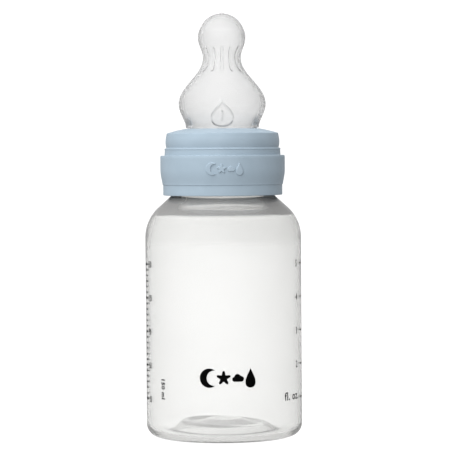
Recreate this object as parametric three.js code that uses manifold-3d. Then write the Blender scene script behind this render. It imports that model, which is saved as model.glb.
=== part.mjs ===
// Baby bottle for 150 ml: a clear bottle with a wide threaded neck, a screw ring, and a
// silicone teat whose flange the ring holds down on the bottle's rim.
// Millimetres, +Z up. The origin is the centre of the base, and the front faces -Y.
import * as THREE from "three";
import { mergeVertices } from "three/addons/utils/BufferGeometryUtils.js";
import Module from "manifold-3d";

const wasm = await Module();
wasm.setup();

// ---------------------------------------------------------------- driving dimensions

const FACETS = 48; // flat faces round every turned surface
const CURVE_STEPS = 3; // straight steps in each bend of an outline

const BOTTLE = {
  radius: 29,
  wall: 1.4,
  corner: 4.5, // radius between the base and the side
  landRadius: 17.9, // inner edge of the flat ring that it stands on
  puntRadius: 14.4, // edge of the raised middle of the base
  puntHeight: 3.6,
  puntCrown: 1.6, // rise of the punt from its edge to its centre
  puntWall: 1.7,
  sideTop: 74, // where the straight side turns into the shoulder
  shoulderRadius: 15,
  shoulderAngle: (48 * Math.PI) / 180, // turn of the shoulder's arc before it runs straight
  neckRadius: 18,
  neckBore: 16.2,
  neckFoot: 93.8, // where the neck's straight wall starts
  rimHeight: 110,
  rimBevel: 0.6,
};

const RING = {
  bottom: 89.7,
  skirtRadius: 22.2, // plain band at the foot of the ring
  creaseHeight: 93.5,
  barrelRadius: 23.2,
  barrelBend: [96, 99], // heights where the barrel's swell turns and ends
  shelfHeight: 104.5, // flat step that a dust cap stands on
  bandRadius: 21.6, // band that a dust cap clips over
  bandTop: 106.8,
  tierRadius: 21.2,
  tierMiddle: 109.4,
  tierTop: 111.8,
  corner: 0.9,
  bore: 19.8,
  bevel: 1.1, // at the mouth of the bore, to clear the bottle's shoulder
  holeRadius: 13.2,
  holeBevel: 0.4,
  top: 114.4,
  plate: 1.5, // thickness of the plate over the teat's flange
};

const TEAT = {
  flangeRadius: 18.6,
  flangeBottom: 110.3,
  gap: 0.3, // clearance to the ring all round the groove
  bore: 11.3,
  waist: { radius: 13.6, height: 114.7 }, // just above the ring
  bell: { radius: 16.2, height: 123.5 },
  neck: { radius: 7.03, height: 140.6 },
  bulb: { radius: 8.85, height: 148.45 },
  wall: 1.6,
  feedHole: 0.4, // radius of the hole at the tip
};

const RIBS = { count: 12, width: 1, depth: 0.5, bottom: 135.4, top: 144.6 };

const THREAD = {
  starts: 2,
  lead: 8,
  height: 1.3,
  root: 2,
  crest: 0.9,
  sink: 0.5, // how far a ridge reaches into its wall
  fadeSteps: 4, // facets over which the end of a ridge runs out
  neckStart: 98.5,
  neckSteps: 40, // facets that one ridge of the neck runs over
  ringDrop: 1.8, // the ring's ridges bear on the underside of the neck's
  ringSteps: 26,
};

const COLOURS = { bottle: "#eef2f2", ring: "#a9b8c2", teat: "#ececea" };

// ---------------------------------------------------------------- shared helpers

const QUARTER = Math.PI / 2;
const FACET_ANGLE = (2 * Math.PI) / FACETS;

/** Turns an outline, drawn as radius and height, about +Z. */
function turned(outline) {
  const geometry = new THREE.LatheGeometry(outline.getPoints(CURVE_STEPS), FACETS);
  return geometry.rotateX(QUARTER);
}

/** The solid of a closed geometry, ready to be joined. */
function solidOf(geometry) {
  const bare = geometry.clone();
  bare.deleteAttribute("normal");
  bare.deleteAttribute("uv");
  const merged = mergeVertices(bare, 1e-4);
  const vertProperties = new Float32Array(merged.attributes.position.array);
  const triVerts = new Uint32Array(merged.index.array);
  return new wasm.Manifold(new wasm.Mesh({ numProp: 3, vertProperties, triVerts }));
}

/** One geometry made by joining closed geometries that overlap. */
function joined(geometries) {
  const whole = geometries.map(solidOf).reduce((sum, solid) => sum.add(solid));
  const mesh = whole.getMesh();
  const geometry = new THREE.BufferGeometry();
  geometry.setAttribute("position", new THREE.BufferAttribute(mesh.vertProperties, 3));
  geometry.setIndex(new THREE.BufferAttribute(mesh.triVerts, 1));
  geometry.computeVertexNormals();
  return geometry;
}

/** A named mesh with its own material. */
function part(name, geometry, look) {
  const mesh = new THREE.Mesh(geometry, new THREE.MeshStandardMaterial(look));
  mesh.name = name;
  return mesh;
}

// ---------------------------------------------------------------- screw thread

/** The trapezoid that one ridge has in section: x away from its wall, y up. */
function ridgeSection() {
  const section = new THREE.Shape();
  section.moveTo(0, -THREAD.root / 2);
  section.lineTo(THREAD.sink + THREAD.height, -THREAD.crest / 2);
  section.lineTo(THREAD.sink + THREAD.height, THREAD.crest / 2);
  section.lineTo(0, THREAD.root / 2);
  return section;
}

/**
 * One ridge, wound up a right-hand helix about +Z. It is extruded straight, with its length
 * standing for the angle, and then each vertex is moved onto the helix.
 * side is +1 for a ridge on the outside of a wall and -1 for one inside a bore.
 */
function threadRidge(wallRadius, side, startAngle, startHeight, steps) {
  const sweep = steps * FACET_ANGLE;
  const extrusion = { depth: sweep, steps, bevelEnabled: false };
  const geometry = new THREE.ExtrudeGeometry(ridgeSection(), extrusion);
  const position = geometry.attributes.position;
  const buried = THREAD.sink / (THREAD.sink + THREAD.height) / 2; // reach that hides an end
  for (let i = 0; i < position.count; i++) {
    // The helix is followed the way that leaves the faces pointing out of the ridge.
    const angle = side > 0 ? sweep - position.getZ(i) : position.getZ(i);
    const toEnd = Math.min(angle, sweep - angle) / (THREAD.fadeSteps * FACET_ANGLE);
    const reach = position.getX(i) * THREE.MathUtils.lerp(buried, 1, Math.min(1, toEnd));
    const radius = wallRadius + side * (reach - THREAD.sink);
    const rise = (THREAD.lead * angle) / (2 * Math.PI);
    position.setXYZ(
      i,
      radius * Math.cos(startAngle + angle),
      radius * Math.sin(startAngle + angle),
      startHeight + rise + position.getY(i),
    );
  }
  return geometry;
}

/** The ridges of a thread with several starts, evenly round the axis. */
function threadRidges(wallRadius, side, startHeight, steps) {
  const ridges = [];
  for (let i = 0; i < THREAD.starts; i++) {
    const startAngle = (i * 2 * Math.PI) / THREAD.starts;
    ridges.push(threadRidge(wallRadius, side, startAngle, startHeight, steps));
  }
  return ridges;
}

// ---------------------------------------------------------------- bottle

/** The shoulder's arc at a depth inside the outer surface, and the straight slope beyond. */
function shoulderAt(depth) {
  const centre = BOTTLE.radius - BOTTLE.shoulderRadius;
  const radius = BOTTLE.shoulderRadius - depth;
  const endRadius = centre + radius * Math.cos(BOTTLE.shoulderAngle);
  const endHeight = BOTTLE.sideTop + radius * Math.sin(BOTTLE.shoulderAngle);
  const slopeHeight = (r) => endHeight + (endRadius - r) / Math.tan(BOTTLE.shoulderAngle);
  return { centre, radius, slopeHeight };
}

/** The underside of the base, the side, the shoulder and the neck, from the axis to the rim. */
function drawBottleOutside(outline) {
  const { radius, corner, sideTop, neckRadius, neckFoot, rimHeight, rimBevel } = BOTTLE;
  const { puntRadius, puntHeight, puntCrown, landRadius, shoulderAngle } = BOTTLE;
  const shoulder = shoulderAt(0);
  const slopeEnd = neckRadius + 1.6;
  outline.moveTo(0, puntHeight + puntCrown);
  outline.quadraticCurveTo(puntRadius / 2, puntHeight + puntCrown, puntRadius, puntHeight);
  outline.lineTo(landRadius, 0);
  outline.lineTo(radius - corner, 0);
  outline.absarc(radius - corner, corner, corner, -QUARTER, 0, false);
  outline.absarc(shoulder.centre, sideTop, shoulder.radius, 0, shoulderAngle, false);
  outline.lineTo(slopeEnd, shoulder.slopeHeight(slopeEnd));
  outline.quadraticCurveTo(neckRadius, shoulder.slopeHeight(neckRadius), neckRadius, neckFoot);
  outline.lineTo(neckRadius, rimHeight - rimBevel);
  outline.lineTo(neckRadius - rimBevel, rimHeight);
}

/** The bore, the inside of the shoulder and side, and the floor, from the rim to the axis. */
function drawBottleInside(outline) {
  const { radius, wall, corner, sideTop, neckBore, neckFoot, rimHeight, rimBevel } = BOTTLE;
  const { puntRadius, puntHeight, puntCrown, puntWall, landRadius, shoulderAngle } = BOTTLE;
  const shoulder = shoulderAt(wall);
  const slopeEnd = neckBore + 1.2;
  const floorEdge = landRadius + 3.6;
  const floorTop = puntHeight + puntWall;
  outline.lineTo(neckBore + rimBevel, rimHeight);
  outline.lineTo(neckBore, rimHeight - rimBevel);
  outline.lineTo(neckBore, neckFoot);
  outline.lineTo(slopeEnd, shoulder.slopeHeight(slopeEnd));
  outline.absarc(shoulder.centre, sideTop, shoulder.radius, shoulderAngle, 0, true);
  outline.absarc(radius - corner, corner, corner - wall, 0, -QUARTER, true);
  outline.lineTo(floorEdge, wall);
  outline.lineTo(puntRadius + 0.8, floorTop);
  outline.quadraticCurveTo(puntRadius / 2, floorTop + puntCrown, 0, floorTop + puntCrown);
}

function bottle() {
  const outline = new THREE.Path();
  drawBottleOutside(outline);
  drawBottleInside(outline);
  const ridges = threadRidges(BOTTLE.neckRadius, 1, THREAD.neckStart, THREAD.neckSteps);
  return joined([turned(outline), ...ridges]);
}

// ---------------------------------------------------------------- screw ring

/** Height of the ring's sloping top at a radius. */
function ringTopAt(radius) {
  const inner = RING.holeRadius + RING.holeBevel;
  const outer = RING.tierRadius - RING.corner;
  const fall = RING.top - (RING.tierTop + RING.corner);
  return RING.top - (fall * (radius - inner)) / (outer - inner);
}

/** Height of the underside of the ring's plate at a radius. */
function plateUndersideAt(radius) {
  return ringTopAt(radius) - RING.plate;
}

/** Skirt, crease, barrel, shelf, band and upper tier, from the foot to the top's corner. */
function drawRingOutside(outline) {
  const { bottom, skirtRadius, creaseHeight, barrelRadius, barrelBend, shelfHeight } = RING;
  const { bandRadius, bandTop, tierRadius, tierMiddle, tierTop, corner } = RING;
  const edge = 0.25; // small rounds, drawn as bevels
  outline.lineTo(skirtRadius - edge, bottom);
  outline.lineTo(skirtRadius, bottom + edge);
  outline.lineTo(skirtRadius, creaseHeight);
  outline.lineTo(skirtRadius + edge, creaseHeight + edge);
  outline.quadraticCurveTo(barrelRadius, barrelBend[0], barrelRadius, barrelBend[1]);
  outline.lineTo(barrelRadius, shelfHeight - 2 * edge);
  outline.lineTo(barrelRadius - edge, shelfHeight);
  outline.lineTo(bandRadius, shelfHeight);
  outline.lineTo(bandRadius, bandTop - edge);
  outline.lineTo(tierRadius - edge, bandTop + edge);
  outline.quadraticCurveTo(tierRadius + edge, tierMiddle, tierRadius, tierTop);
  const topEdge = tierRadius - corner;
  outline.quadraticCurveTo(tierRadius, tierTop + corner, topEdge, ringTopAt(topEdge));
}

/** The sloping top, the hole, the plate's underside and the bore, back to the foot. */
function drawRingInside(outline) {
  const { bottom, bore, bevel, holeRadius, holeBevel, top } = RING;
  outline.lineTo(holeRadius + holeBevel, top);
  outline.lineTo(holeRadius, top - holeBevel);
  outline.lineTo(holeRadius, plateUndersideAt(holeRadius));
  outline.lineTo(bore, plateUndersideAt(bore));
  outline.lineTo(bore, bottom + bevel);
  outline.lineTo(bore + bevel, bottom);
}

function screwRing() {
  const outline = new THREE.Path();
  outline.moveTo(RING.bore + RING.bevel, RING.bottom);
  drawRingOutside(outline);
  drawRingInside(outline);
  const start = THREAD.neckStart - THREAD.ringDrop;
  return joined([turned(outline), ...threadRidges(RING.bore, -1, start, THREAD.ringSteps)]);
}

// ---------------------------------------------------------------- teat

/** The curves of the teat at a depth inside its outer surface, each from bottom to top. */
function teatCurves(depth, foot) {
  const at = (radius, height) => new THREE.Vector2(radius, height);
  const bell = at(TEAT.bell.radius - depth, TEAT.bell.height);
  const neck = at(TEAT.neck.radius - depth, TEAT.neck.height);
  const bulb = at(TEAT.bulb.radius - depth, TEAT.bulb.height);
  const bend = (a, b, c, d) => new THREE.CubicBezierCurve(a, b, c, d);
  return {
    swell: bend(foot, at(foot.x, foot.y + 2.5), at(bell.x, bell.y - 3.2), bell),
    shoulder: bend(bell, at(bell.x, bell.y + 6.6), at(neck.x + 0.15, neck.y - 6.4), neck),
    flare: bend(neck, at(neck.x, neck.y + 2.8), at(bulb.x, bulb.y - 3.2), bulb),
    bulbRadius: bulb.x,
  };
}

/** The points of a teat's wall from its foot to the feed hole. */
function teatWall(curves) {
  const { swell, shoulder, flare, bulbRadius } = curves;
  const holeAngle = Math.acos(TEAT.feedHole / bulbRadius);
  const { height } = TEAT.bulb;
  const tip = new THREE.ArcCurve(0, height, bulbRadius, 0, holeAngle, false);
  return [
    ...swell.getPoints(CURVE_STEPS),
    ...shoulder.getPoints(2 * CURVE_STEPS).slice(1),
    ...flare.getPoints(CURVE_STEPS).slice(1),
    ...tip.getPoints(2 * CURVE_STEPS).slice(1),
  ];
}

/** The inside of the teat, which the ribs stand on. */
function teatInside() {
  return teatCurves(TEAT.wall, new THREE.Vector2(TEAT.bore, TEAT.waist.height));
}

/** Flange, the groove that grips the ring's plate, the wall up to the tip and down inside. */
function teatBody() {
  const { flangeRadius, flangeBottom, gap, bore, waist } = TEAT;
  const grooveRadius = RING.holeRadius - gap;
  const outline = new THREE.Path();
  outline.moveTo(bore, flangeBottom);
  outline.lineTo(flangeRadius, flangeBottom);
  outline.lineTo(flangeRadius, plateUndersideAt(flangeRadius) - gap);
  outline.lineTo(grooveRadius, plateUndersideAt(grooveRadius) - gap);
  outline.lineTo(grooveRadius, waist.height);
  const foot = new THREE.Vector2(waist.radius, waist.height);
  for (const point of teatWall(teatCurves(0, foot))) {
    outline.lineTo(point.x, point.y);
  }
  for (const point of teatWall(teatInside()).reverse()) {
    outline.lineTo(point.x, point.y);
  }
  outline.lineTo(bore, flangeBottom);
  return turned(outline);
}

/** One upright rib on the inside of the teat's neck, at an angle round the axis. */
function neckRib(angle) {
  const { shoulder, flare } = teatInside();
  const wall = [...shoulder.getPoints(16), ...flare.getPoints(8).slice(1)];
  const stretch = wall.filter((point) => point.y > RIBS.bottom && point.y < RIBS.top);
  const sunkSide = stretch.map((point) => new THREE.Vector2(point.x + TEAT.wall / 2, point.y));
  const openSide = stretch.map((point) => new THREE.Vector2(point.x - RIBS.depth, point.y));
  openSide[0].x = stretch[0].x;
  openSide.at(-1).x = stretch.at(-1).x;
  const section = new THREE.Shape([...sunkSide, ...openSide.reverse()]);
  const extrusion = { depth: RIBS.width, bevelEnabled: false };
  const geometry = new THREE.ExtrudeGeometry(section, extrusion);
  geometry.translate(0, 0, -RIBS.width / 2);
  return geometry.rotateX(QUARTER).rotateZ(angle);
}

function teat() {
  const ribs = [];
  for (let i = 0; i < RIBS.count; i++) {
    ribs.push(neckRib((i * 2 * Math.PI) / RIBS.count));
  }
  return joined([teatBody(), ...ribs]);
}

// ---------------------------------------------------------------- the whole bottle

const babyBottle = new THREE.Group();
babyBottle.add(
  part("bottle", bottle(), { color: COLOURS.bottle, roughness: 0.08, metalness: 0 }),
  part("screw_ring", screwRing(), { color: COLOURS.ring, roughness: 0.45, metalness: 0 }),
  part("teat", teat(), { color: COLOURS.teat, roughness: 0.35, metalness: 0 }),
);

export default babyBottle;
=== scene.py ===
"""A 150 ml baby bottle: clear body with printed scales, pale blue screw ring, silicone teat.

Outlines are drawn in millimetres as (radius, height) and turned about +Z. Angles round the
bottle are 0 at the front (-Y) and grow towards +X.
"""
import math

import bmesh
import bpy
import numpy as np
from mathutils import Matrix, Quaternion, Vector


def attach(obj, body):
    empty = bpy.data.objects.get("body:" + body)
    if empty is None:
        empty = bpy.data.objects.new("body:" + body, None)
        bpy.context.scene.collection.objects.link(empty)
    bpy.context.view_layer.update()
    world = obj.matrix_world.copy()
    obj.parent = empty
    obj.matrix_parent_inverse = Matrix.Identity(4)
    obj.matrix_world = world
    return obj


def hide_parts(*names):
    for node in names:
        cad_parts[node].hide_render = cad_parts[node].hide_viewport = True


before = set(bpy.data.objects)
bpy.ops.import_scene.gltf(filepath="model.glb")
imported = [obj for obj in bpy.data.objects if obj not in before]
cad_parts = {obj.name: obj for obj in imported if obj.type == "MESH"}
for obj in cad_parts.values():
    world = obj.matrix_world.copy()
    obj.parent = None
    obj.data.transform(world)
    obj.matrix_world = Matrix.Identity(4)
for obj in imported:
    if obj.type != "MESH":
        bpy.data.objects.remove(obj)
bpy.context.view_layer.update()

MM = 0.001
TURN = 2 * math.pi


# ------------------------------------------------------------------ outlines

def bezier(a, b, c, d, count):
    """A cubic curve from a to d, as count + 1 points."""
    t = np.linspace(0, 1, count + 1)[:, None]
    a, b, c, d = (np.array(p, float) for p in (a, b, c, d))
    return (1 - t) ** 3 * a + 3 * t * (1 - t) ** 2 * b + 3 * t * t * (1 - t) * c + t ** 3 * d


def arc(centre, radius, start, end, count):
    """A circular arc between two angles in degrees, as count + 1 points."""
    t = np.radians(np.linspace(start, end, count + 1))
    return np.stack([centre[0] + radius * np.cos(t), centre[1] + radius * np.sin(t)], 1)


def rounded(corners, steps=5):
    """A chain of straight lines whose corners (x, y, fillet radius) are rounded off."""
    points = [np.array(corners[0][:2], float)]
    for before, here, after in zip(corners, corners[1:], corners[2:]):
        p0, p1, p2 = (np.array(c[:2], float) for c in (before, here, after))
        if here[2] == 0:
            points.append(p1)
            continue
        into = (p1 - p0) / np.linalg.norm(p1 - p0)
        out = (p2 - p1) / np.linalg.norm(p2 - p1)
        turn = math.acos(max(-1, min(1, float(into @ out))))
        reach = here[2] * math.tan(turn / 2)
        start, end = p1 - into * reach, p1 + out * reach
        t = np.linspace(0, 1, steps + 1)[:, None]
        points.extend((1 - t) ** 2 * start + 2 * t * (1 - t) * p1 + t * t * end)
    points.append(np.array(corners[-1][:2], float))
    return np.array(points)


def chained(*stretches):
    """Stretches of an outline joined end to end, without repeated points."""
    points = np.concatenate([np.atleast_2d(s) for s in stretches])
    keep = np.ones(len(points), bool)
    keep[1:] = np.linalg.norm(np.diff(points, axis=0), axis=1) > 1e-4
    return points[keep]


def refined(points, step):
    """The same outline with no straight step longer than step(midpoint)."""
    out = [points[0]]
    for a, b in zip(points, points[1:]):
        pieces = max(1, math.ceil(np.linalg.norm(b - a) / step((a + b) / 2)))
        out.extend(a + (b - a) * (k + 1) / pieces for k in range(pieces))
    return np.array(out)


def smooth_step(x):
    """From 0 to 1 with no slope at either end."""
    x = np.clip(x, 0, 1)
    return x * x * (3 - 2 * x)


def between(values, band):
    """Whether values lie inside a band (low, high)."""
    return (values > band[0]) & (values < band[1])


# ------------------------------------------------------------------ meshes

def finished(name, bm, material):
    """A scene object from a bmesh, smooth shaded."""
    mesh = bpy.data.meshes.new(name)
    bm.to_mesh(mesh)
    bm.free()
    mesh.shade_smooth()
    mesh.materials.append(material)
    obj = bpy.data.objects.new(name, mesh)
    bpy.context.scene.collection.objects.link(obj)
    return obj


def columns(count, dense_reach=0.0, dense_step=1.0):
    """Angles round the axis: count in a full turn, with a closer set near the front."""
    even = np.arange(count) * TURN / count - math.pi
    if not dense_reach:
        return even
    dense = np.arange(-dense_reach, dense_reach, dense_step)
    outside = even[np.abs(even) > dense_reach + TURN / count / 2]
    return np.sort(np.concatenate([outside, dense]))


def turned(name, outline, angles, material, shape=None, closed=True):
    """Turns an outline about +Z. shape(radius, height, angle) may push the grid's points.

    A closed outline joins its ends; an open one starts and ends on the axis.
    """
    radius, height = (np.repeat(outline[:, k, None], len(angles), 1) for k in (0, 1))
    angle = np.repeat(angles[None, :], len(outline), 0)
    if shape:
        radius, height = shape(radius, height, angle)
    points = np.stack([radius * np.sin(angle), -radius * np.cos(angle), height], -1) * MM
    rows, cols = radius.shape
    bm = bmesh.new()
    verts = [bm.verts.new(p) for p in points.reshape(-1, 3)]
    for i in range(rows if closed else rows - 1):
        below, above = i * cols, (i + 1) % rows * cols
        for j in range(cols):
            k = (j + 1) % cols
            bm.faces.new((verts[below + j], verts[below + k], verts[above + k], verts[above + j]))
    if not closed:
        bmesh.ops.remove_doubles(bm, verts=bm.verts, dist=1e-7)
    bmesh.ops.recalc_face_normals(bm, faces=bm.faces)
    return finished(name, bm, material)


# ------------------------------------------------------------------ marks

def star_outline(points=5, inner=0.5):
    """A plump star of unit radius."""
    t = np.linspace(0, TURN, 20 * points, endpoint=False)
    wave = (1 + np.cos(points * t)) / 2
    radius = inner + (1 - inner) * wave ** 1.3
    return np.stack([radius * np.sin(t), radius * np.cos(t)], 1)


def moon_outline():
    """A crescent, open to the right, of unit radius."""
    outer = arc((0, 0), 1, 52, 308, 40)
    bite = arc((0.52, 0), 0.79, -86, -274, 30)
    return np.concatenate([outer, bite]) + np.array([0.2, 0])


def cloud_outline():
    """A cloud with three bulges and a flat foot, about 2 wide."""
    return np.concatenate([
        arc((-0.58, -0.22), 0.42, 270, 110, 14),
        arc((-0.1, 0.2), 0.5, 165, 35, 14),
        arc((0.55, -0.16), 0.48, 75, -90, 14),
    ])


def drop_outline():
    """A drop with its point up, of unit half height."""
    t = np.linspace(0, TURN, 60, endpoint=False)
    return np.stack([0.78 * np.sin(t) * np.sin(t / 2) ** 1.6, np.cos(t)], 1)


def icon_row(width, height):
    """The four icons side by side in a box centred on (0, 0), as outlines in millimetres."""
    shapes = [moon_outline(), star_outline(), cloud_outline(), drop_outline()]
    half = height / 2
    scales = [half * k for k in (0.92, 0.7, 0.56, 0.95)]
    placed = [s * k for s, k in zip(shapes, scales)]
    widths = [np.ptp(s[:, 0]) for s in placed]
    gap = (width - sum(widths)) / (len(placed) - 1)
    left = -width / 2
    for s, w in zip(placed, widths):
        s[:, 0] += left - s[:, 0].min()
        left += w + gap
    return placed


def depth_inside(outline, x, y):
    """Distance to an outline, positive inside it, for arrays of points."""
    best = np.full(x.shape, np.inf)
    inside = np.zeros(x.shape, bool)
    for (ax, ay), (bx, by) in zip(outline, np.roll(outline, -1, 0)):
        dx, dy = bx - ax, by - ay
        t = np.clip(((x - ax) * dx + (y - ay) * dy) / (dx * dx + dy * dy + 1e-12), 0, 1)
        best = np.minimum(best, np.hypot(x - ax - t * dx, y - ay - t * dy))
        crosses = (ay > y) != (by > y)
        with np.errstate(divide="ignore", invalid="ignore"):
            inside ^= crosses & (x < ax + (y - ay) * dx / dy)
    return np.where(inside, best, -best)


# ------------------------------------------------------------------ materials

def material(name):
    """A new material with its shader and a place for more nodes."""
    made = bpy.data.materials.new(name)
    made.use_nodes = True
    nodes = made.node_tree.nodes
    return made, nodes, made.node_tree.links, nodes["Principled BSDF"]


def add(nodes, kind, **values):
    """A node with its inputs or properties set by name."""
    node = nodes.new(kind)
    for key, value in values.items():
        if key in node.inputs:
            node.inputs[key].default_value = value
        else:
            setattr(node, key, value)
    return node


def noise(nodes, links, scale, detail=3.0, roughness=0.5, stretch=(1, 1, 1)):
    """Noise in the object's own coordinates; scale is per metre."""
    where = nodes.new("ShaderNodeTexCoord")
    mapping = nodes.new("ShaderNodeMapping")
    mapping.inputs["Scale"].default_value = stretch
    links.new(where.outputs["Object"], mapping.inputs["Vector"])
    tex = add(nodes, "ShaderNodeTexNoise", Scale=scale, Detail=detail, Roughness=roughness)
    links.new(mapping.outputs["Vector"], tex.inputs["Vector"])
    return tex.outputs["Fac"]


def ranged(nodes, links, value, low, high, start=0.3, end=0.7):
    """A value from 0 to 1 mapped to low to high."""
    node = nodes.new("ShaderNodeMapRange")
    for key, number in (("From Min", start), ("From Max", end), ("To Min", low), ("To Max", high)):
        node.inputs[key].default_value = number
    links.new(value, node.inputs["Value"])
    return node.outputs["Result"]


def bumped(nodes, links, shader, height, strength, distance):
    """Fine relief from a height field; distance in metres."""
    bump = add(nodes, "ShaderNodeBump", Strength=strength, Distance=distance)
    links.new(height, bump.inputs["Height"])
    links.new(bump.outputs["Normal"], shader.inputs["Normal"])


def tinted(nodes, links, value, low, high):
    """A colour between two, by a value from 0 to 1."""
    mix = nodes.new("ShaderNodeMix")
    mix.data_type = "RGBA"
    mix.inputs["A"].default_value = (*low, 1)
    mix.inputs["B"].default_value = (*high, 1)
    links.new(value, mix.inputs["Factor"])
    return mix.outputs["Result"]


def clear_plastic():
    """Blow-moulded clear plastic: slightly uneven gloss, and grey where light runs far in it."""
    made, nodes, links, shader = material("clear_plastic")
    shader.inputs["Base Color"].default_value = (1, 1, 1, 1)
    shader.inputs["Transmission Weight"].default_value = 0.88
    shader.inputs["IOR"].default_value = 1.5
    patches = noise(nodes, links, 60, detail=2, stretch=(1, 1, 0.4))
    links.new(ranged(nodes, links, patches, 0.02, 0.05), shader.inputs["Roughness"])
    ripple = noise(nodes, links, 45, detail=1, stretch=(1, 1, 0.35))
    bumped(nodes, links, shader, ripple, 0.12, 0.0006)
    absorb = add(nodes, "ShaderNodeVolumeAbsorption", Color=(0.90, 0.90, 0.894, 1), Density=980.0)
    links.new(absorb.outputs["Volume"], nodes["Material Output"].inputs["Volume"])
    return made


def silicone():
    """Milky translucent silicone with a soft surface."""
    made, nodes, links, shader = material("silicone")
    shader.inputs["Base Color"].default_value = (0.965, 0.965, 0.965, 1)
    shader.inputs["Transmission Weight"].default_value = 0.88
    shader.inputs["IOR"].default_value = 1.41
    haze = noise(nodes, links, 120, detail=4)
    links.new(ranged(nodes, links, haze, 0.15, 0.21), shader.inputs["Roughness"])
    skin = noise(nodes, links, 900, detail=3)
    bumped(nodes, links, shader, skin, 0.08, 0.0002)
    absorb = add(nodes, "ShaderNodeVolumeAbsorption", Color=(0.9, 0.9, 0.9, 1), Density=1000.0)
    links.new(absorb.outputs["Volume"], nodes["Material Output"].inputs["Volume"])
    return made


def satin_plastic():
    """Moulded opaque plastic, pale grey blue, with a fine spark-eroded grain."""
    made, nodes, links, shader = material("satin_plastic")
    cloud = ranged(nodes, links, noise(nodes, links, 140, detail=4), 0, 1)
    tint = tinted(nodes, links, cloud, (0.286, 0.360, 0.424), (0.307, 0.383, 0.450))
    links.new(tint, shader.inputs["Base Color"])
    rub = noise(nodes, links, 420, detail=5, stretch=(1, 1, 2.2))
    links.new(ranged(nodes, links, rub, 0.36, 0.50), shader.inputs["Roughness"])
    shader.inputs["IOR"].default_value = 1.49
    grain = noise(nodes, links, 3600, detail=2)
    bumped(nodes, links, shader, grain, 0.22, 0.00006)
    return made


def ink():
    """Black pad-printed ink, a little uneven."""
    made, nodes, links, shader = material("ink")
    cloud = ranged(nodes, links, noise(nodes, links, 900, detail=4), 0, 1)
    links.new(tinted(nodes, links, cloud, (0.001, 0.001, 0.001), (0.004, 0.004, 0.004)),
              shader.inputs["Base Color"])
    links.new(ranged(nodes, links, cloud, 0.5, 0.65, 0, 1), shader.inputs["Roughness"])
    shader.inputs["Specular IOR Level"].default_value = 0.0
    bumped(nodes, links, shader, noise(nodes, links, 5000, detail=2), 0.15, 0.00003)
    return made


CLEAR = clear_plastic()
SILICONE = silicone()
SATIN = satin_plastic()
INK = ink()


# ------------------------------------------------------------------ screw thread

THREAD_LEAD = 8.0
THREAD_STARTS = 2
THREAD_ROOT = 1.0  # half width at the wall
THREAD_CREST = 0.45  # half width at the crest
THREAD_HEIGHT = 1.3
THREAD_FADE = math.radians(28)  # each end of a ridge sinks into the wall over this angle
THREAD_FROM = -math.pi / 2  # where the first ridge starts, on the bottle and in the ring


def thread_height(height, angle, start_height, start_angle, sweep):
    """How far the ridges of a right-hand thread stand out, for arrays of points."""
    tallest = np.zeros(height.shape)
    for i in range(THREAD_STARTS):
        along = (angle - start_angle - i * TURN / THREAD_STARTS) % TURN
        middle = start_height + THREAD_LEAD * along / TURN
        away = np.abs(height - middle)
        flank = np.clip((THREAD_ROOT - away) / (THREAD_ROOT - THREAD_CREST), 0, 1)
        ends = smooth_step(along / THREAD_FADE) * smooth_step((sweep - along) / THREAD_FADE)
        tallest = np.maximum(tallest, THREAD_HEIGHT * smooth_step(flank) * ends)
    return tallest


# ------------------------------------------------------------------ bottle

BODY_RADIUS = 29.0
BODY_BORE = BODY_RADIUS - 1.35
NECK_RADIUS = 18.0
NECK_BORE = 16.2
RIM = 110
LIP = 108  # in the bore, where the outside and the inside of the outline meet
CORNER = (24.5, 4.5, 4.5)  # centre and radius of the base's corner
SHOULDER = (14.0, 74.0, 15.0, 48)  # centre, radius and last angle of the shoulder's arc
SHOULDER_TOP = 19.3  # radius where the straight slope above that arc ends
INNER_CORNER = (24.8, 81.7)  # where the cone under the neck meets the side, on the inside

NECK_THREAD_START = 98.5
NECK_THREAD_SWEEP = math.radians(300)
NECK_THREAD_BAND = (93.2, 109.4)  # the heights that the ridges may touch
NECK_FINE_BAND = (93, 109.5)  # the heights with a fine mesh, outside NECK_FINE_FROM
NECK_FINE_FROM = 17
NECK_STEP, BODY_STEP = 0.28, 1.5  # longest step of the mesh there and elsewhere
BODY_COLUMNS = 300

BLOWN_BAND = (8, 84)  # the heights with an uneven wall
BLOWN_FADE = 10
BLOWN_DEPTH = 0.035
BASE_RIM, BASE_RIM_WIDTH = 14.8, 2.2  # radius and width of the raised base's rim
SEAM_BAND = (0.5, 92)
SEAM_WIDTH, SEAM_HEIGHT = 0.12, 0.05


def bottle_outside():
    """From the middle of the underside, out and up to the rim."""
    r, z, radius, turn = SHOULDER
    end = arc((r, z), radius, turn, turn, 0)[0]
    fall = 1 / math.tan(math.radians(turn))
    return chained(
        rounded([(0, 5.2, 0), (1.3, 5.2, 0.3), (1.5, 4.7, 0.3), (6.5, 4.3, 4), (11.0, 3.6, 2.5),
                 (14.4, 3.6, 1.5), (17.9, 0.2, 1.2), (20.0, 0, 1.5), (22.5, 0, 0)]),
        arc(CORNER[:2], CORNER[2], -90, 0, 14),
        arc((r, z), radius, 0, turn, 22),
        rounded([(*end, 0), (SHOULDER_TOP, end[1] + (end[0] - SHOULDER_TOP) * fall, 1.5),
                 (18.9, 90.6, 0.4), (18.9, 92.2, 0.4), (NECK_RADIUS, 92.9, 0.4),
                 (NECK_RADIUS, RIM, 0.5), (NECK_BORE, RIM, 0.5), (NECK_BORE, LIP, 0)]),
    )


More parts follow.
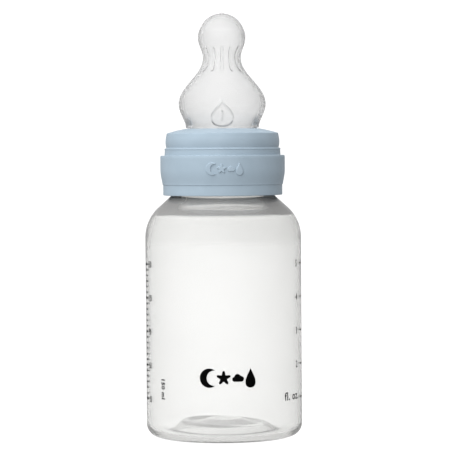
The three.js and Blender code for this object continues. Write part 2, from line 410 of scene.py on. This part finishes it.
def bottle_inside():
    """From the rim down the bore, the side and the floor to the middle."""
    return chained(
        rounded([(NECK_BORE, LIP, 0), (NECK_BORE, 87.8, 0.5), (*INNER_CORNER, 0)]),
        bezier(INNER_CORNER, (25.9, 79.6), (BODY_BORE - 0.15, 77), (BODY_BORE, 71.5), 26),
        rounded([(BODY_BORE, 8.5, 0), (BODY_BORE, 3.3, 3.2), (24.9, 1.45, 2.2), (21.0, 1.55, 1.8),
                 (16.1, 5.1, 1.6), (14.2, 5.35, 1.4), (12.4, 4.6, 1.2), (11.2, 4.9, 0.8),
                 (6.5, 6.3, 5), (0, 6.75, 0)]),
    )


def bottle_outline():
    return chained(bottle_outside(), bottle_inside())


def wall_wander(height, angle):
    """How the thickness of a blown wall wanders."""
    wander = (np.sin(3 * angle + height / 19) + 0.6 * np.sin(7 * angle - height / 8.5)
              + 0.5 * np.sin(height / 5.3 + 2 * np.sin(angle)))
    return BLOWN_DEPTH * wander * smooth_step((height - BLOWN_BAND[0]) / BLOWN_FADE)


def base_tilt(radius, angle):
    """The rim of the raised base is not level: it is highest on the left."""
    rim = np.exp(-((radius - BASE_RIM) / BASE_RIM_WIDTH) ** 2)
    return rim * (0.2 - 0.75 * np.sin(angle) + 0.1 * np.cos(angle))


def parting_line(radius, angle):
    """The line where the two mould halves met, on both sides."""
    return SEAM_HEIGHT * np.exp(-((np.abs(angle) - math.pi / 2) * radius / SEAM_WIDTH) ** 2)


def build_bottle():
    """The clear body: threaded neck, uneven blown wall, tilted base rim and parting line."""
    def step(middle):
        threaded = between(middle[1], NECK_FINE_BAND) and middle[0] > NECK_FINE_FROM
        return NECK_STEP if threaded else BODY_STEP

    rows = refined(bottle_outline(), step)
    split = int(np.argmax(rows[:, 1] >= RIM - 1e-6))

    def shape(radius, height, angle):
        outer = np.arange(len(radius))[:, None] <= split
        ridge = thread_height(height, angle, NECK_THREAD_START, THREAD_FROM, NECK_THREAD_SWEEP)
        radius = radius + np.where(outer & between(height, NECK_THREAD_BAND), ridge, 0)
        blown = ~outer & between(height, BLOWN_BAND)
        radius = radius + np.where(blown, wall_wander(height, angle), 0)
        base = ~outer & (height < BLOWN_BAND[0])
        height = height + np.where(base, base_tilt(radius, angle), 0)
        side = outer & between(height, SEAM_BAND)
        return radius + np.where(side, parting_line(radius, angle), 0), height

    body = turned("bottle_body", rows, columns(BODY_COLUMNS), CLEAR, shape, closed=False)
    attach(body, "bottle")
    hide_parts("bottle")
    body.visible_shadow = False


# ------------------------------------------------------------------ screw ring

def ring_outline():
    """From the foot up the outside, over the top, through the hole and down the bore."""
    barrel = bezier((22.45, 93.9), (22.7, 95.6), (23.2, 97.0), (23.2, 99.4), 10)
    return chained(
        rounded([(20.9, 89.7, 0), (22.2, 89.7, 0.25), (22.2, 93.5, 0.12), (22.45, 93.75, 0.1),
                 (22.45, 93.9, 0)]),
        barrel,
        rounded([(23.2, 99.4, 0), (23.2, 103.6, 1.2), (23.1, 104.5, 0.28), (21.6, 104.5, 0.18),
                 (21.5, 106.55, 0.1), (21.65, 106.8, 0.12), (21.5, 107.1, 0.12),
                 (20.95, 107.25, 0.15)]),
        bezier((20.95, 107.5), (21.3, 108.6), (21.3, 110.2), (20.95, 111.6), 10),
        rounded([(20.95, 111.6, 0), (20.75, 112.75, 0.6), (17.3, 113.7, 2), (13.9, 114.4, 0.35),
                 (13.2, 114.3, 0.25), (13.2, 113.0, 0.2), (19.8, 111.4, 0.8), (19.8, 91.2, 0.3),
                 (20.9, 89.7, 0.15), (21.2, 89.7, 0)]),
    )


ICON_ROW = icon_row(13.6, 5.0)
ICON_HEIGHT = 99.6
ICON_OFFSET = 0.7  # the row sits a little right of the front
ICON_RELIEF, ICON_EDGE = 0.5, 0.13
ICON_FINE_BAND = (96.5, 102.8)  # the heights with the finest mesh, outside ICON_FINE_FROM
ICON_FINE_FROM = 21.9
ICON_STEP = 0.11
ICON_REACH, ICON_COLUMN = math.radians(19.5), math.radians(0.26)

BARREL_RADIUS = 23.2
BARREL_BAND = (96, 103.2)  # the barrel's heights, outside BARREL_FROM
BARREL_FROM = 22
RING_BORE_EDGE = 19.9  # all the faces nearer the axis are in the ring's bore
RING_BORE_BAND = (92, 111)
RING_THREAD_DROP = 1.8  # the ring's ridges lie this far under the bottle's
RING_THREAD_SWEEP = math.radians(195)
RING_FINE_BAND = (93, 104)
RING_THREAD_STEP, RING_STEP = 0.3, 1.2
RING_COLUMNS = 240
FAR_OFF = 99  # a place outside every mark


def raised(outlines, x, y, edge):
    """0 to 1 cover of a set of outlines, with soft edges."""
    cover = np.zeros(x.shape)
    for outline in outlines:
        low, high = outline.min(0) - 1, outline.max(0) + 1
        near = (x > low[0]) & (x < high[0]) & (y > low[1]) & (y < high[1])
        depth = depth_inside(outline, x[near], y[near])
        cover[near] = np.maximum(cover[near], smooth_step(depth / edge + 0.5))
    return cover


def build_ring():
    """The screw ring: raised icons on the barrel and the thread in the bore."""
    def step(middle):
        if middle[0] > ICON_FINE_FROM and between(middle[1], ICON_FINE_BAND):
            return ICON_STEP
        threaded = middle[0] < RING_BORE_EDGE and between(middle[1], RING_FINE_BAND)
        return RING_THREAD_STEP if threaded else RING_STEP

    rows = refined(ring_outline(), step)

    def shape(radius, height, angle):
        inside = (radius < RING_BORE_EDGE) & between(height, RING_BORE_BAND)
        ridge = thread_height(height, angle, NECK_THREAD_START - RING_THREAD_DROP, THREAD_FROM,
                              RING_THREAD_SWEEP)
        barrel = (radius > BARREL_FROM) & between(height, BARREL_BAND)
        x = np.where(barrel, angle * BARREL_RADIUS - ICON_OFFSET, FAR_OFF)
        mark = raised(ICON_ROW, x, height - ICON_HEIGHT, ICON_EDGE)
        return radius - np.where(inside, ridge, 0) + ICON_RELIEF * mark, height

    angles = columns(RING_COLUMNS, ICON_REACH, ICON_COLUMN)
    ring = turned("ring_shell", rows, angles, SATIN, shape)
    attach(ring, "screw_ring")
    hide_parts("screw_ring")


# ------------------------------------------------------------------ teat

TEAT_WALL = 1.6
BELL_RADIUS, TEAT_NECK_RADIUS, BULB_RADIUS = 16.2, 7.03, 8.82
BULB_MIDDLE = 148.4
TEAT_FOOT = (13.6, 115.0)
TEAT_FOOT_INSIDE = (11.4, 114.9)


def teat_rise(inset, foot):
    """The teat's skin from its foot to the equator of its bulb, at a depth inside it."""
    bell, neck, bulb = BELL_RADIUS - inset, TEAT_NECK_RADIUS - inset, BULB_RADIUS - inset
    return chained(
        bezier(foot, (foot[0], foot[1] + 2.5), (bell, 120.3), (bell, 123.5), 22),
        bezier((bell, 123.5), (bell, 130.1), (neck + 0.15, 134.2), (neck, 140.6), 34),
        bezier((neck, 140.6), (neck, 143.4), (bulb, 145.2), (bulb, BULB_MIDDLE), 22),
    )


def teat_outside():
    """From the flange's underside, round the groove and up to the feed hole."""
    cap = arc((0, 148.6), 8.55, 23, 85.5, 30)
    return chained(
        rounded([(15.2, 110.3, 0), (18.6, 110.3, 0.3), (18.6, 111.35, 0.3), (12.9, 112.75, 0.2),
                 (12.9, 114.65, 0.15), (13.55, 114.7, 0.2), (*TEAT_FOOT, 0)]),
        teat_rise(0, TEAT_FOOT),
        bezier((BULB_RADIUS, BULB_MIDDLE), (BULB_RADIUS, 150.1), (8.3, 150.9), cap[0], 8),
        cap,
        rounded([(0.78, 157.1, 0), (0.66, 157.45, 0.15), (0.34, 157.45, 0.12), (0.28, 157.1, 0),
                 (0.28, 155.9, 0)]),
    )


def teat_inside():
    """From the feed hole down to the flange."""
    bulb = BULB_RADIUS - TEAT_WALL
    return chained(
        arc((0, 148.75), 7.05, 87.7, 14, 34),
        bezier((6.84, 150.45), (7.0, 149.8), (bulb, 149.4), (bulb, BULB_MIDDLE), 6),
        teat_rise(TEAT_WALL, TEAT_FOOT_INSIDE)[::-1],
        rounded([(*TEAT_FOOT_INSIDE, 0), (11.4, 110.9, 0.8), (12.2, 110.3, 0.5), (15.2, 110.3, 0)]),
    )


def teat_outline():
    return chained(teat_outside(), teat_inside())


FLOW_MARK = drop_outline() * (8.2, 4.7)
FLOW_MARK_HEIGHT = 119.6
FLOW_BAR = np.array([(-0.27, -2.4), (0.27, -2.4), (0.27, 1.1), (-0.27, 1.1)])
FLOW_LINE_WIDTH, FLOW_LINE_RELIEF = 0.28, 0.5
FLOW_BAR_EDGE, FLOW_BAR_RELIEF = 0.25, 1.1
FLOW_RADIUS = 15.6  # the bell's mean radius behind the mark
FLOW_BAND = (113.9, 125.3)  # the heights of the mark, outside FLOW_FROM
FLOW_FROM = 13.5
FLOW_REACH = (6, 6.5)  # half the width and height of the box that holds the mark
FLOW_FINE_BAND = (113.8, 125.4)
FLOW_STEP, TEAT_STEP, FLANGE_STEP = 0.14, 0.5, 0.8
FLANGE_TOP = 112
TEAT_COLUMNS, FLOW_TURN, FLOW_COLUMN = 288, math.radians(19), math.radians(0.5)

RIBS = 12
RIB_RADIUS, RIB_WIDTH, RIB_DEPTH = 5.7, 0.5, 0.42
RIB_BAND = (134.9, 144.9)
RIB_FADES = (1.0, 0.7)  # at the lower and the upper end
NECK_INSIDE = 14  # the ribs' side of the teat lies nearer the axis than this


def flow_mark(x, y):
    """The drop's line and the bar in it, as relief on the bell."""
    close = (np.abs(x) < FLOW_REACH[0]) & (np.abs(y) < FLOW_REACH[1])
    line = np.zeros(x.shape)
    line[close] = np.exp(-(depth_inside(FLOW_MARK, x[close], y[close]) / FLOW_LINE_WIDTH) ** 2)
    return FLOW_LINE_RELIEF * line, FLOW_BAR_RELIEF * raised([FLOW_BAR], x, y, FLOW_BAR_EDGE)


def neck_ribs(height, angle):
    """Ribs up the inside of the neck, which keep it from collapsing."""
    across = ((angle * RIBS / TURN + 0.5) % 1 - 0.5) * TURN / RIBS * RIB_RADIUS
    lower = smooth_step((height - RIB_BAND[0]) / RIB_FADES[0])
    upper = smooth_step((RIB_BAND[1] - height) / RIB_FADES[1])
    return RIB_DEPTH * np.exp(-(across / RIB_WIDTH) ** 4) * (lower * upper)


def build_teat():
    """The silicone teat: flow mark on the bell and ribs inside the neck."""
    def step(middle):
        if between(middle[1], FLOW_FINE_BAND) and middle[0] > FLOW_FROM:
            return FLOW_STEP
        return TEAT_STEP if middle[1] > FLANGE_TOP else FLANGE_STEP

    rows = refined(teat_outline(), step)
    split = int(np.argmax(rows[:, 1]))

    def shape(radius, height, angle):
        outer = np.arange(len(radius))[:, None] <= split
        near = outer & between(height, FLOW_BAND) & (radius > FLOW_FROM)
        line, bar_relief = flow_mark(np.where(near, angle * FLOW_RADIUS, FAR_OFF),
                                     np.where(near, height - FLOW_MARK_HEIGHT, FAR_OFF))
        radius = radius + line + bar_relief
        inside = ~outer & (radius < NECK_INSIDE)
        return radius - np.where(inside, neck_ribs(height, angle), 0), height

    angles = columns(TEAT_COLUMNS, FLOW_TURN, FLOW_COLUMN)
    teat = turned("teat_skin", rows, angles, SILICONE, shape)
    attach(teat, "teat")
    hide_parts("teat")
    teat.visible_shadow = False


# ------------------------------------------------------------------ print

INK_LIFT = 0.012  # above the plastic
INK_THICKNESS = 0.03
MARK_STEP = 0.7  # widest face round the bottle


def wrapped(name, bm, angle, height):
    """Wraps a flat bmesh, drawn in millimetres, round the bottle and gives it thickness."""
    low = min(v.co.x for v in bm.verts)
    high = max(v.co.x for v in bm.verts)
    for x in np.arange(low + MARK_STEP, high, MARK_STEP):
        geometry = [*bm.verts, *bm.edges, *bm.faces]
        bmesh.ops.bisect_plane(bm, geom=geometry, plane_co=(x, 0, 0), plane_no=(1, 0, 0))
    bmesh.ops.recalc_face_normals(bm, faces=bm.faces)
    if sum(f.normal.z for f in bm.faces) < 0:
        bmesh.ops.reverse_faces(bm, faces=bm.faces)
    base = bm.faces[:]
    grown = bmesh.ops.extrude_face_region(bm, geom=base, use_keep_orig=True)
    top = {v for v in grown["geom"] if isinstance(v, bmesh.types.BMVert)}
    bmesh.ops.reverse_faces(bm, faces=base)
    for v in bm.verts:
        radius = BODY_RADIUS + INK_LIFT + (INK_THICKNESS if v in top else 0)
        turn = angle + v.co.x / BODY_RADIUS
        v.co = Vector((radius * math.sin(turn), -radius * math.cos(turn), height + v.co.y)) * MM
    bmesh.ops.recalc_face_normals(bm, faces=bm.faces)
    obj = finished(name, bm, INK)
    obj.data.shade_flat()
    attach(obj, "bottle")


def outline_bmesh(outlines):
    """Flat filled shapes."""
    bm = bmesh.new()
    for outline in outlines:
        verts = [bm.verts.new((x, y, 0)) for x, y in outline]
        bm.faces.new(verts)
    bmesh.ops.triangulate(bm, faces=bm.faces)
    return bm


def text_bmesh(body, size, centre=(0.0, 0.0), turn=0.0, width=1.0, weight=0.016):
    """Flat lettering in the built-in face, centred on a point, turned in degrees."""
    curve = bpy.data.curves.new("lettering", "FONT")
    curve.body, curve.size, curve.space_character = body, size, 1.1
    curve.offset = weight * size
    curve.align_x, curve.align_y = "CENTER", "CENTER"
    curve.resolution_u = 3
    holder = bpy.data.objects.new("lettering", curve)
    bpy.context.scene.collection.objects.link(holder)
    mesh = bpy.data.meshes.new_from_object(holder)
    bpy.data.objects.remove(holder)
    bpy.data.curves.remove(curve)
    place = Matrix.Translation((*centre, 0)) @ Matrix.Rotation(math.radians(turn), 4, "Z")
    mesh.transform(place @ Matrix.Diagonal((width, 1, 1, 1)))
    bm = bmesh.new()
    bm.from_mesh(mesh)
    bpy.data.meshes.remove(mesh)
    return bm


def merged(parts):
    """Several bmeshes as one."""
    whole = bmesh.new()
    for bm in parts:
        mesh = bpy.data.meshes.new("part")
        bm.to_mesh(mesh)
        bm.free()
        whole.from_mesh(mesh)
        bpy.data.meshes.remove(mesh)
    return whole


def bar(x0, x1, y, thickness):
    """The outline of a level bar."""
    half = thickness / 2
    return np.array([(x0, y - half), (x1, y - half), (x1, y + half), (x0, y + half)])


ML_STEP = 12.45  # height of 30 ml
ML_BOTTOM = 14.55
ML_ANGLE = math.radians(-78.7)
ML_TYPE, ML_NUMBERS_X, ML_TYPE_WIDTH = 3.4, 4.7, 0.66
OZ_STEP = 12.4  # height of 1 fl oz
OZ_BOTTOM = 14.9
OZ_ANGLE = math.radians(78.4)
OZ_TYPE, OZ_NUMBERS_X, OZ_TYPE_WIDTH = 3.6, -5.6, 0.8
MARKS = 5
MINOR_TICKS = 6  # steps from one numbered mark to the next
MAJOR_TICK = (-1.4, 1.7, 0.75)  # left, right and thickness
MINOR_TICK = (-0.8, 1.7, 0.52)
OZ_TICK = (-1.4, 2.6, 0.42)


def build_ml_scale():
    """Millilitres: ticks every 5, numbers every 30, on the -X side."""
    ticks = []
    for i in range((MARKS - 1) * MINOR_TICKS + 1):
        left, right, thickness = MINOR_TICK if i % MINOR_TICKS else MAJOR_TICK
        ticks.append(bar(left, right, i * ML_STEP / MINOR_TICKS, thickness))
    numbers = [text_bmesh(str(30 * (i + 1)), ML_TYPE, (ML_NUMBERS_X, i * ML_STEP),
                          width=ML_TYPE_WIDTH) for i in range(MARKS)]
    wrapped("scale_ml", merged([outline_bmesh(ticks), *numbers]), ML_ANGLE, ML_BOTTOM)


def build_oz_scale():
    """Fluid ounces: a tick for each and a number from 2 up, on the +X side."""
    left, right, thickness = OZ_TICK
    ticks = [bar(left, right, i * OZ_STEP, thickness) for i in range(MARKS)]
    numbers = [text_bmesh(str(i + 1), OZ_TYPE, (OZ_NUMBERS_X, i * OZ_STEP),
                          width=OZ_TYPE_WIDTH) for i in range(1, MARKS)]
    wrapped("scale_oz", merged([outline_bmesh(ticks), *numbers]), OZ_ANGLE, OZ_BOTTOM)


PRINTED_ICONS = icon_row(20.6, 7.6)
ICONS_AT = (1.4 / BODY_RADIUS, 24.1)  # angle and height
VOLUME_AT = (math.radians(-50.5), 19.3)
UNIT_AT = (math.radians(60), 15.9)


def build_marks():
    """The row of icons on the front, and the two pieces of small print."""
    wrapped("front_icons", outline_bmesh(PRINTED_ICONS), *ICONS_AT)
    wrapped("volume_text", text_bmesh("150 ml", 2.6, turn=-90, weight=0.035), *VOLUME_AT)
    wrapped("unit_text", text_bmesh("fl. oz.", 4.2), *UNIT_AT)


# ------------------------------------------------------------------ studio

BACKDROP = 1.12  # a little over white, as a lit backdrop is
FLOOR_LIGHT = 1.08
PAINTED_SHADOW_LEVEL = 0.82  # painted shadow: the floor glows dimmer where the bottle stands on it
PAINTED_SHADOW_REACH = (0.021, 0.028)  # metres from the axis, where that painted shadow starts to fade and ends
ROOM = 0.5
FLOOR_SIZE, FLOOR_DROP = 40, 0.0002  # metres


def build_floor():
    """A plain pale floor that runs far past the view, and throws no light back on the object; its
    glow is dimmed in a painted shadow under the bottle.
    """
    bpy.ops.mesh.primitive_plane_add(size=FLOOR_SIZE, location=(0, 0, -FLOOR_DROP))
    floor = bpy.context.object
    floor.name = "floor"
    made, nodes, links, shader = material("floor_paper")
    shader.inputs["Base Color"].default_value = (0.06, 0.06, 0.06, 1)
    shader.inputs["Roughness"].default_value = 0.9
    shader.inputs["Specular IOR Level"].default_value = 0.1
    shader.inputs["Emission Color"].default_value = (1, 1, 1, 1)
    where = nodes.new("ShaderNodeTexCoord")
    away = add(nodes, "ShaderNodeVectorMath", operation="LENGTH")
    links.new(where.outputs["Object"], away.inputs[0])
    # painted shadow: the floor's glow is dimmed near the axis, under the bottle's base
    level = ranged(nodes, links, away.outputs["Value"], PAINTED_SHADOW_LEVEL, FLOOR_LIGHT, *PAINTED_SHADOW_REACH)
    links.new(level, shader.inputs["Emission Strength"])
    made.cycles.emission_sampling = "NONE"
    floor.data.materials.append(made)
    floor.visible_diffuse = False
    floor.visible_glossy = False


def build_world():
    """A lit backdrop all round, in a dimmer studio.

    The backdrop is what the camera and the light through clear parts see. The room is what
    lights the object and shows in its gloss.
    """
    world = bpy.data.worlds.new("studio")
    bpy.context.scene.world = world
    world.use_nodes = True
    nodes, links = world.node_tree.nodes, world.node_tree.links
    path = nodes.new("ShaderNodeLightPath")
    seen = add(nodes, "ShaderNodeMath", operation="MAXIMUM")
    links.new(path.outputs["Is Camera Ray"], seen.inputs[0])
    links.new(path.outputs["Is Transmission Ray"], seen.inputs[1])
    level = ranged(nodes, links, seen.outputs["Value"], ROOM, BACKDROP, 0, 1)
    nodes["Background"].inputs["Color"].default_value = (1, 1, 1, 1)
    links.new(level, nodes["Background"].inputs["Strength"])


LIT_POINT = (0, 0, 0.09)
KEY_AT = (-0.281, -1.126, 0.47)


def area_light(name, location, size, power, in_gloss=False):
    """A soft box aimed at the object; clear parts never show it."""
    light = bpy.data.lights.new(name, "AREA")
    light.shape = "RECTANGLE"
    light.size, light.size_y = size
    light.energy = power
    obj = bpy.data.objects.new(name, light)
    bpy.context.scene.collection.objects.link(obj)
    obj.location = location
    obj.rotation_mode = "QUATERNION"
    obj.rotation_quaternion = (Vector(LIT_POINT) - Vector(location)).to_track_quat("-Z", "Y")
    obj.visible_transmission = False
    obj.visible_glossy = in_gloss


def build_lights():
    """Size in metres, power in watts. Only the window shows in gloss."""
    area_light("key", KEY_AT, (0.46, 0.38), 7.1)
    area_light("window", KEY_AT, (0.44, 0.40), 1.6, in_gloss=True)
    area_light("side", (-1.0, -0.577, 1.0), (1.4, 1.2), 14)
    area_light("back", (0.35, 1.0, 1.0), (1.4, 1.2), 12)
    area_light("top", (-0.1, -0.35, 1.4), (0.9, 0.7), 8)


CAMERA_AT = (0.0011, -0.85, 0.1075)
CAMERA_AIM = (0.0011, 0, 0.0781)
CAMERA_ROLL = math.radians(-0.42)
SENSOR_WIDTH, LENS = 36, 181.6
CLIP = (0.01, 100)


def build_camera():
    """A long lens just above the ring's height, a little rolled."""
    data = bpy.data.cameras.new("camera")
    data.sensor_width, data.lens = SENSOR_WIDTH, LENS
    data.clip_start, data.clip_end = CLIP
    camera = bpy.data.objects.new("camera", data)
    bpy.context.scene.collection.objects.link(camera)
    camera.location = CAMERA_AT
    aim = Vector(CAMERA_AIM) - camera.location
    camera.rotation_mode = "QUATERNION"
    roll = Quaternion((0, 0, 1), CAMERA_ROLL)
    camera.rotation_quaternion = aim.to_track_quat("-Z", "Y") @ roll
    bpy.context.scene.camera = camera


BOUNCES = 24


def set_render_look():
    """Plain colours, with bounces enough for the clear pieces."""
    scene = bpy.context.scene
    scene.view_settings.view_transform = "Standard"
    scene.cycles.use_denoising = True
    scene.cycles.max_bounces = BOUNCES
    scene.cycles.transmission_bounces = BOUNCES
    scene.cycles.transparent_max_bounces = BOUNCES


build_bottle()
build_ring()
build_teat()
build_ml_scale()
build_oz_scale()
build_marks()
build_floor()
build_world()
build_lights()
build_camera()
set_render_look()
